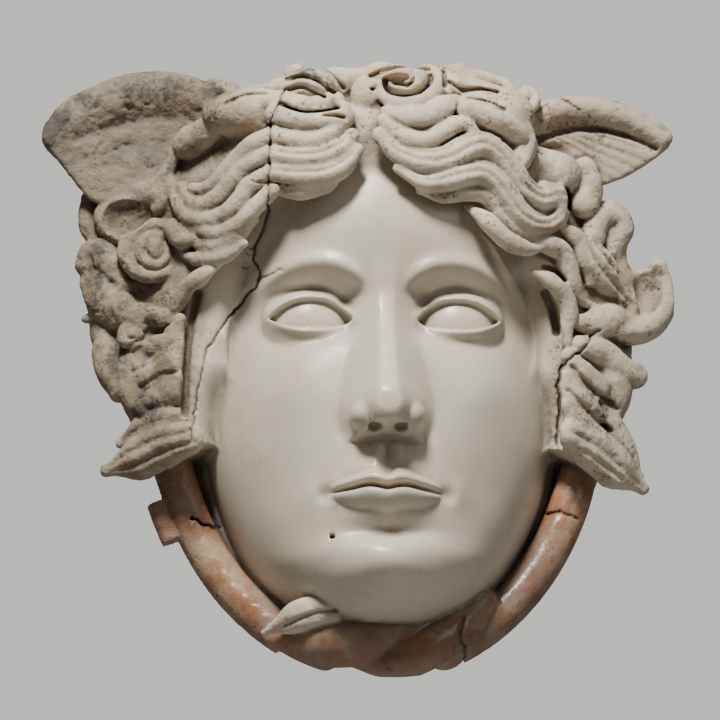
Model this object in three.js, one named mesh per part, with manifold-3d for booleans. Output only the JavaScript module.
// A marble gorgon mask, carved as one block and made to be fixed to a wall.
// Millimetres, +Z up, the face looks towards -Y and the flat back lies on y = 0.
import * as THREE from 'three';
import { mergeVertices } from 'three/addons/utils/BufferGeometryUtils.js';
import Module from 'manifold-3d';

const wasm = await Module();
wasm.setup();
const { Manifold, Mesh } = wasm;

// Driving dimensions.
const MASK_HEIGHT = 400;
const SLAB_THICKNESS = 27;
const SNAKE_DIAMETER = 26;
const FACE_LEAN = 4;

// The carving keeps its proportions as shares of the mask's height.
// One finger is that height's share in which the tables below are written.
const FINGER = MASK_HEIGHT / 62.3;
// Places in the tables are seen by a viewer who stands a little low and to the left.
const SIGHT_RISE = THREE.MathUtils.degToRad(14);
const SIGHT_TURN = THREE.MathUtils.degToRad(3);

// The opening that the hair leaves for the face. What is drawn around it spreads with its width.
const HEAD = { up: -2, halfWidth: 18.2, halfHeight: 16 };
const DRAWN_HALF_WIDTH = 18.2;
const SPREAD = HEAD.halfWidth / DRAWN_HALF_WIDTH;

const MARBLE = new THREE.MeshStandardMaterial({ color: 0xcfc8bc, roughness: 0.55, metalness: 0 });

// Small helpers.

const clamp = THREE.MathUtils.clamp;
const smooth = THREE.MathUtils.smoothstep;

// A smooth maximum, which rounds the valley between two surfaces.
function softMax(a, b, softness) {
  const h = clamp(0.5 + (0.5 * (a - b)) / softness, 0, 1);
  return b + (a - b) * h + softness * h * (1 - h);
}

const softMin = (a, b, softness) => -softMax(-a, -b, softness);

// A round swelling of height 1 at one place of the face.
function swell(x, z, atX, atZ, wide, high) {
  return Math.exp(-(((x - atX) / wide) ** 2) - ((z - atZ) / high) ** 2);
}

// The front of a ball whose middle lies at a height of the face; nothing beside the ball.
function dome(across, up, wide, high, base, rise) {
  const left = 1 - (across / wide) ** 2 - (up / high) ** 2;
  return left > 0 ? base + rise * Math.sqrt(left) : 0;
}

// A smooth line through rows of position and value.
function profile(rows) {
  const curve = new THREE.SplineCurve(rows.map(([at, value]) => new THREE.Vector2(at, value)));
  const points = curve.getPoints(12 * rows.length);
  return (at) => {
    const next = points.findIndex((p) => p.x >= at);
    if (next <= 0) return next === 0 ? points[0].y : points[points.length - 1].y;
    const [a, b] = [points[next - 1], points[next]];
    return a.y + ((b.y - a.y) * (at - a.x)) / (b.x - a.x);
  };
}

// A three.js geometry as a solid that can be added, subtracted and intersected.
function solid(geometry) {
  geometry.deleteAttribute('normal');
  geometry.deleteAttribute('uv');
  const merged = mergeVertices(geometry, 1e-3);
  return new Manifold(
    new Mesh({
      numProp: 3,
      vertProperties: merged.attributes.position.array,
      triVerts: new Uint32Array(merged.index.array),
    }),
  );
}

// The geometry with each of its vertices moved by the function given.
function reshaped(geometry, move) {
  const position = geometry.attributes.position;
  const vertex = new THREE.Vector3();
  for (let i = 0; i < position.count; i++) {
    vertex.fromBufferAttribute(position, i);
    move(vertex);
    position.setXYZ(i, vertex.x, vertex.y, vertex.z);
  }
  return geometry;
}

// A point of the mask from its seen place, in fingers, and its height above the slab.
function place(across, up, height) {
  const depth = SLAB_THICKNESS + height * FINGER;
  return new THREE.Vector3(
    (across * SPREAD * FINGER - depth * Math.sin(SIGHT_TURN)) / Math.cos(SIGHT_TURN),
    -depth,
    (up * FINGER - depth * Math.sin(SIGHT_RISE)) / Math.cos(SIGHT_RISE),
  );
}

// The height of the hair above the slab: full over the forehead, low at the sides and the crown.
function hairHeight(across, up) {
  const crown = Math.max(0, up - 24);
  return 16.1 / (1 + (across / 19.5) ** 4) - 0.17 * crown ** 2;
}

// The face: a forward height over its own plane, in shares of a 312 mm tall face.

const FACE_HEIGHT = MASK_HEIGHT * 0.78;
const FACE_UNIT = FACE_HEIGHT / 312;
const NOSE_BASE = -82;
const CHIN = -114;
const HAIRLINE = 215;
const WIDEST = 50;
const FACE_HALF_WIDTH = 117.5;
const EYE = { x: 47, z: 80, half: 26, upper: 11.8, lower: 8.6 };
const MOUTH = { z: -36.5, half: 36, upper: 11.5, lower: 15 };

const middleLine = profile([
  [-115, 40], [-111, 66], [-104, 88], [-93, 102], [-78, 109], [-60, 106], [-36, 108],
  [-10, 109], [20, 109], [60, 108], [88, 106], [106, 112], [135, 119], [165, 117], [220, 95],
]);
const noseTop = profile([[-8, 134], [7, 142], [18, 143], [32, 136], [55, 125], [92, 112], [150, 90]]);
const browLine = profile([[4, 90], [24, 107], [44, 113], [64, 111], [92, 94]]);

function faceHalfWidth(z) {
  const reach = z < WIDEST ? 165 : 230;
  return FACE_HALF_WIDTH * Math.sqrt(Math.max(0.01, 1 - ((z - WIDEST) / reach) ** 2));
}

function planes(x, z) {
  const side = Math.abs(x);
  const round = Math.sqrt(Math.max(0, 1 - (side / faceHalfWidth(z)) ** 2.15));
  return (
    middleLine(z) * round +
    5 * swell(side, z, 60, 32, 26, 22) -
    4 * swell(side, z, 62, -30, 22, 24) +
    6 * swell(x, z, 0, -38, 28, 22) +
    6 * swell(x, z, 0, -84, 19, 13) -
    6.5 * swell(x, z, 0, -62, 24, 7) -
    11 * swell(side, z, 46, 82, 27, 17) -
    13 * swell(side, z, 22, 85, 9, 13) +
    5 * Math.exp(-(((z - browLine(side)) / 7) ** 2)) * smooth(side, 6, 20) * (1 - smooth(side, 70, 92))
  );
}

function nose(x, z) {
  const side = Math.abs(x);
  const ridge = noseTop(z) - 1.5 * Math.max(0, side - 4);
  const wing = dome(side - 15.6, z - 7.5, 10, 11, 108, 18);
  const under = 109 + 5 * (z + 4);
  return softMin(softMax(ridge, wing, 4), under, 5);
}

function eye(x, z) {
  const across = Math.abs(x) - EYE.x;
  const up = z - EYE.z;
  const round = Math.max(0, 1 - (across / EYE.half) ** 2);
  const inside = Math.min(EYE.upper * round ** 0.75 - up, up + EYE.lower * round ** 0.85);
  const lid = dome(across, up, 31, 27, 75, 27);
  const ball = dome(across, up, 30, 26, 76, 21);
  return { lid, ball, open: round > 0 && inside > 0 };
}

function lips(x, z) {
  const side = Math.abs(x) / MOUTH.half;
  const full = Math.sqrt(Math.max(0, 1 - side * side));
  const up = z - MOUTH.z;
  const upper = up >= 0 ? Math.sin(Math.PI * Math.min(1, up / (MOUTH.upper * full + 0.1))) : 0;
  const lower = up < 0 ? Math.sin(Math.PI * Math.min(1, -up / (MOUTH.lower * full + 0.1))) : 0;
  return full * (6.5 * upper + 7.8 * lower) - 4 * full * Math.exp(-((up / 2.5) ** 2));
}

function faceForward(x, z) {
  const { lid, ball, open } = eye(x, z);
  const lidded = softMax(softMax(planes(x, z), nose(x, z), 5), lid, 6);
  return (open ? Math.min(ball, lidded) : lidded) + lips(x, z);
}

// Rows of the face's grid: close together where a feature turns.
const FACE_ROWS = [
  CHIN, -110, -104, -94, -82, -69, -58, -50, -43, -37, -33, -28, -22, -12, -4, 1, 8, 16, 28, 42,
  56, 66, 71, 77, 83, 89, 95, 103, 112, 130, 160, HAIRLINE,
];
const FACE_COLUMNS = 24;
const FACE_RIM = 8;
// The face block starts inside the slab.
const FACE_BACK = 0.5 * SLAB_THICKNESS;

function face() {
  const rows = FACE_ROWS.length - 1;
  const grid = new THREE.BoxGeometry(2, 1, 1, FACE_COLUMNS, 1, rows);
  reshaped(grid, (vertex) => {
    const z = FACE_ROWS[Math.round((vertex.z + 0.5) * rows)];
    const x = faceHalfWidth(z) * (vertex.x - 0.07 * Math.sin(2 * Math.PI * vertex.x));
    const forward = vertex.y < 0 ? Math.max(FACE_RIM, faceForward(x, z)) : 0;
    vertex.set(x * FACE_UNIT, -forward * FACE_UNIT - FACE_BACK, z * FACE_UNIT);
  });
  return solid(grid)
    .rotate([-FACE_LEAN, 0, 0])
    .translate([0, 0, NOSE_BASE * FACE_UNIT]);
}

// Carved strands: locks of hair, feathers and snakes are all rounded bars bent along a path.

// A bar along a path from 0 to 1, with half its width and thickness given at each share.
function bar(path, halfWidth, halfThickness, { sides = 5, rings = 6, head = 0.6, tail = 0.35 } = {}) {
  const outward = new THREE.Vector3();
  const ahead = new THREE.Vector3();
  const sideways = new THREE.Vector3();
  const rod = new THREE.CylinderGeometry(1, 1, 1, sides, rings);
  reshaped(rod, (vertex) => {
    const share = vertex.y + 0.5;
    const size = head + (1 - head) * smooth(share, 0, 0.3) - (1 - tail) * smooth(share, 0.6, 1);
    const centre = path(share);
    ahead.copy(path(Math.min(1, share + 0.02))).sub(path(Math.max(0, share - 0.02))).normalize();
    outward.set((centre.x * 0.0035 * 400) / MASK_HEIGHT, -1, (centre.z * 0.0035 * 400) / MASK_HEIGHT);
    outward.addScaledVector(ahead, -outward.dot(ahead)).normalize();
    sideways.crossVectors(ahead, outward);
    const across = vertex.x * halfWidth * size * FINGER;
    const up = vertex.z * halfThickness * size * FINGER;
    vertex.copy(centre).addScaledVector(sideways, across).addScaledVector(outward, up);
  });
  return solid(rod);
}

// A path from one seen place to another that bows to one side and swings in waves.
function wavyPath(from, to, { bow = 0, swing = 0, waves = 1.5, lift = 0, fall = 0, height = null } = {}) {
  const across = to[0] - from[0];
  const up = to[1] - from[1];
  const length = Math.hypot(across, up);
  return (share) => {
    const aside = bow * Math.sin(Math.PI * share) + swing * Math.sin(2 * Math.PI * waves * share);
    const u = from[0] + across * share - (up / length) * aside;
    const v = from[1] + up * share + (across / length) * aside;
    const ground = height === null ? hairHeight(u, v) : height;
    return place(u, v, ground + lift - fall * share);
  };
}

function lock([from, to, width, shape = {}]) {
  const [rings, sides] = shape.swing ? [8, 5] : [4, 5];
  return bar(wavyPath(from, to, shape), width, shape.thick ?? width * 0.9, { rings, sides, ...shape });
}

// A curl: a low ring with a button in its middle.
function curl([across, up, radius, tube, stretch = 1]) {
  const centre = place(across, up, hairHeight(across, up));
  const ring = new THREE.TorusGeometry(radius - tube, tube, 4, 9);
  reshaped(ring, (v) => v.set(v.x * stretch, -v.z * 1.3, v.y).multiplyScalar(FINGER).add(centre));
  const button = new THREE.SphereGeometry(radius * 0.75, 6, 4);
  reshaped(button, (v) => v.set(v.x * stretch, v.y * 1.3, v.z).multiplyScalar(FINGER).add(centre));
  button.translate(0, 0.3 * radius * FINGER, 0);
  return solid(ring).add(solid(button));
}

// Rows hold where a lock starts, where it ends, half its width and how it bends.
const LEFT_LOCKS = [
  [[-17.2, 28.6], [-8.5, 26.9], 1.4, { head: 0.9, tail: 0.8, lift: -2 }],
  [[-5, 28.6], [2.6, 28.7], 1.5, { head: 0.8, tail: 0.8, lift: -1.4 }],
  [[-6, 25.2], [-19.4, 22.4], 1.7, { bow: -2.2, head: 0.7, tail: 0.85, lift: -1.2 }],
  [[-3.1, 23.9], [-19.3, 16.6], 1.15, { bow: -1.7, swing: 0.6, lift: -0.5 }],
  [[-2, 22.7], [-19.6, 14.6], 1.25, { bow: -0.7, swing: 1.2 }],
  [[-1.7, 21.2], [-19.2, 13], 1.2, { swing: 1.2, thick: 0.9 }],
  [[-7, 16.6], [-18.4, 10.8], 1.15, { bow: -0.3, swing: -0.7, waves: 1, thick: 1, lift: -0.8, head: 0.3 }],
  [[-13.6, 11.1], [-21, 3.8], 1.05, { bow: -0.9, head: 0.4, lift: -0.9 }],
  [[-17.1, 6.8], [-22.6, 1.9], 0.9, { bow: 1.1 }],
  [[-18.6, 2.4], [-24.1, 0], 1.2, { bow: 0.4 }],
  [[-19, -1.2], [-25.8, -1.8], 1.1, { bow: 0.5 }],
  [[-19.2, -3.9], [-24.2, -4.6], 1.1, {}],
  [[-20.2, 21], [-20.6, 15.4], 1.1, { bow: -1 }],
  [[-26.2, 9.4], [-29.6, 10.6], 1.6, { tail: 0.9 }],
  [[-29, 8.8], [-25.1, 6], 1.55, { head: 0.8, tail: 0.6 }],
  [[-21.6, 4.4], [-29.3, 4.3], 1.4, { head: 0.8, tail: 0.3 }],
  [[-26.2, 1.2], [-25.2, -3.6], 1.4, { head: 0.7, tail: 0.8 }],
  [[-29.2, 16.2], [-28.2, 11.6], 1.2, { head: 0.8, tail: 0.8 }],
  [[-18.4, -7.6], [-27.1, -11.2], 2.5, { thick: 1.6, head: 0.75, tail: 0.25 }],
  [[-19.6, -5.4], [-25.8, -8.4], 1.2, {}],
];
const RIGHT_LOCKS = [
  [[0.4, 24.3], [10.2, 23.2], 1.05, { bow: -1.2, swing: -1.4, waves: 1 }],
  [[0.3, 22.8], [17.6, 17], 1.3, { bow: 0.2, swing: -1.6, tail: 0.8 }],
  [[2, 20.2], [18.6, 15.2], 1.3, { bow: -0.3, swing: -1.4, tail: 0.7 }],
  [[5, 17.1], [19.4, 10.1], 1.05, { bow: 1.2, swing: 0.8, waves: 1, thick: 0.8, lift: -0.4, head: 0.3 }],
  [[8.9, 26.1], [14.5, 20.9], 1.5, { bow: 2.6 }],
  [[7.2, 27.6], [11.6, 26.6], 1.4, { bow: 1.6 }],
  [[11, 26.6], [15.6, 27.7], 1.2, { bow: 0.3 }],
  [[8, 28.1], [15.2, 27.6], 1.5, { head: 0.8, tail: 0.7, lift: -1.5 }],
  [[19.4, 20.4], [21.2, 17], 1.6, { bow: 0.7, head: 0.8, tail: 0.9, lift: -0.7 }],
  [[17.7, 13.6], [24.6, 6.7], 1.1, { bow: 0.9 }],
  [[16.9, 10.2], [18.8, 3.8], 1, { bow: 1.6, lift: -0.7 }],
  [[22.2, 10.4], [25, 7.4], 1.9, { head: 0.7, tail: 0.7 }],
  [[21.4, 4], [28.9, 10], 1.75, { bow: -2.8, head: 0.9, tail: 0.75 }],
  [[20.3, 1.6], [26, -0.3], 1.6, { bow: 0.8, tail: 0.8 }],
  [[19.5, -0.8], [25, -2.4], 1.3, { bow: 0.3 }],
  [[19.4, -2.8], [24.6, -5.2], 1.3, {}],
  [[19.7, -4.8], [24.6, -8], 1.2, {}],
  [[19.4, -6.4], [26.7, -12.4], 2.5, { thick: 1.6, head: 0.75, tail: 0.35 }],
];
// Rows hold a curl's middle, its radius, half its thickness and how far it is drawn out sideways.
const CURLS = [
  [-6.1, 28.6, 2.6, 0.9, 1.15],
  [4.1, 28.4, 3.1, 1, 1.35],
  [-25.7, 14.4, 2.3, 0.8],
  [-22.6, 11.4, 2.7, 1],
  [-24.4, 2.6, 1.7, 0.7],
  [24, 14.8, 2.6, 1, 1.1],
];

// The wings: a hollowed plate, a thick leading edge and a fan of feathers behind it.
const WINGS = [
  { root: [-16.5, 26.6], tip: [-33.2, 22.3], bow: -3.6, height: 5, edge: 1.5, end: 0.75,
    feathers: [[-32.8, 22], [-31.3, 20.1], [-29.6, 17.6], [-27, 17]] },
  { root: [14.4, 24.6], tip: [30.1, 23.4], bow: 2.7, height: 6, edge: 1.6, end: 0.55,
    feathers: [[28.6, 22.7], [26.2, 21.8], [23.8, 20.8], [21.6, 19.6]] },
];

function wing({ root, tip, bow, height, edge, end, feathers }) {
  const leading = bar(wavyPath(root, tip, { bow, height }), edge, edge * 1.1, { head: 1, tail: end, rings: 7 });
  return feathers.reduce((made, point, row) => {
    const from = [root[0], root[1] - 1.5 - 1.6 * row];
    const path = wavyPath(from, point, { height: height - 1.2, bow: bow * 0.35 });
    return made.add(bar(path, 1.7, 0.9, { head: 0.9, tail: 0.75, rings: 4 }));
  }, leading);
}

// The two snakes run down from the side locks in an oval and cross in a knot under the chin.
const RING = { across: 0.1, up: -3, halfWidth: 21.3, halfHeight: 26.4 };
const SNAKE_RADIUS = SNAKE_DIAMETER / 2 / (400 / 62.3);
const KNOT = [
  [[-8, -27.6], [8.6, -26.8], 2.15, { bow: 1.8, height: 5.4, head: 0.8, tail: 0.9 }],
  [[-8, -28.6], [2.4, -29.4], 1.8, { height: 4, head: 0.9, tail: 0.9 }],
  [[-2.4, -23.3], [-10.7, -26.8], 1.7, { bow: 0.3, height: 6.4, head: 0.7, tail: 0.3 }],
  [[-RING.halfWidth - 0.6, -14.4], [1.2 - RING.halfWidth, -17.8], 1.15, { height: 2, head: 1, tail: 1 }],
];

// A snake's body along the oval, between two angles in degrees counted from its lowest point.
function snakeBody(fromAngle, toAngle, tail) {
  const path = (share) => {
    const angle = THREE.MathUtils.degToRad(THREE.MathUtils.lerp(fromAngle, toAngle, share));
    const u = RING.across + RING.halfWidth * Math.sin(angle);
    const v = RING.up - RING.halfHeight * Math.cos(angle);
    return place(u, v, 1.7 + 2.4 * Math.max(0, Math.cos(angle)) ** 3);
  };
  return bar(path, SNAKE_RADIUS, SNAKE_RADIUS, { sides: 8, rings: 10, head: 0.9, tail });
}

// What the carving stands on: the slab and the swell of the hair around the face.

const SLAB_HALF_WIDTH = HEAD.halfWidth + 6.2;
const SLAB_TOP = 26;
const SLAB_BOTTOM = -30.4;

function slab() {
  const outline = new THREE.Shape();
  outline.absellipse(0, -1, SLAB_HALF_WIDTH, SLAB_TOP + 1, 0, Math.PI);
  outline.absellipse(0, -1, SLAB_HALF_WIDTH, -SLAB_BOTTOM - 1, Math.PI, 2 * Math.PI);
  const plate = new THREE.ExtrudeGeometry(outline, { depth: 1, bevelEnabled: false, curveSegments: 16 });
  reshaped(plate, (v) => v.set(v.x * FINGER, -v.z * SLAB_THICKNESS, v.y * FINGER));
  return solid(plate);
}

// The ground that the locks lie on: a horseshoe over the head, open below for the face and the snakes.

// Rows hold an angle from straight up, in degrees, and the hair's reach from the head's middle.
const hairReach = profile([
  [-125, 23.4], [-110, 24.5], [-95, 26.6], [-80, 29.1], [-65, 31.2], [-50, 32], [-35, 30], [-20, 28.3],
  [0, 27.2], [20, 27.7], [35, 28.4], [50, 28], [65, 26.6], [80, 26.2], [95, 25.4], [110, 24.4], [125, 23.6],
]);

function hairGround() {
  const cap = new THREE.BoxGeometry(250, 1, 1, 22, 1, 4);
  reshaped(cap, (vertex) => {
    const angle = THREE.MathUtils.degToRad(vertex.x);
    const outward = vertex.z + 0.5;
    const rise = Math.max(0, Math.cos(angle)) / HEAD.halfHeight;
    const inner = 1 / Math.hypot(Math.sin(angle) / DRAWN_HALF_WIDTH, rise);
    const reach = THREE.MathUtils.lerp(inner, hairReach(vertex.x), outward);
    const x = reach * Math.sin(angle);
    const z = HEAD.up + reach * Math.cos(angle);
    const rim = 1 - 0.6 * outward ** 5 - 0.2 * (1 - outward) ** 3;
    const height = vertex.y < 0 ? Math.max(0.2, (hairHeight(x + 0.7, z + 3) - 0.2) * rim) : -1;
    vertex.set(x * SPREAD * FINGER, -SLAB_THICKNESS - height * FINGER, z * FINGER);
  });
  return solid(cap);
}

function mask() {
  const carvings = [
    hairGround(),
    face(),
    ...[...LEFT_LOCKS, ...RIGHT_LOCKS, ...KNOT].map(lock),
    ...CURLS.map(curl),
    ...WINGS.map(wing),
    snakeBody(-82, -12, 1),
    snakeBody(82, 2, 0.85),
  ];
  const whole = carvings.reduce((made, carving) => made.add(carving), slab());
  const front = new THREE.BoxGeometry(2 * MASK_HEIGHT, MASK_HEIGHT, 2 * MASK_HEIGHT);
  front.translate(0, -MASK_HEIGHT / 2, 0);
  return whole.intersect(solid(front));
}

function geometryOf(shape) {
  const { vertProperties, triVerts } = shape.getMesh();
  const geometry = new THREE.BufferGeometry();
  geometry.setAttribute('position', new THREE.BufferAttribute(vertProperties, 3));
  geometry.setIndex(new THREE.BufferAttribute(triVerts, 1));
  geometry.computeVertexNormals();
  return geometry;
}

const gorgon = new THREE.Mesh(geometryOf(mask()), MARBLE);
gorgon.name = 'gorgon_mask';

const group = new THREE.Group();
group.add(gorgon);

export default group;
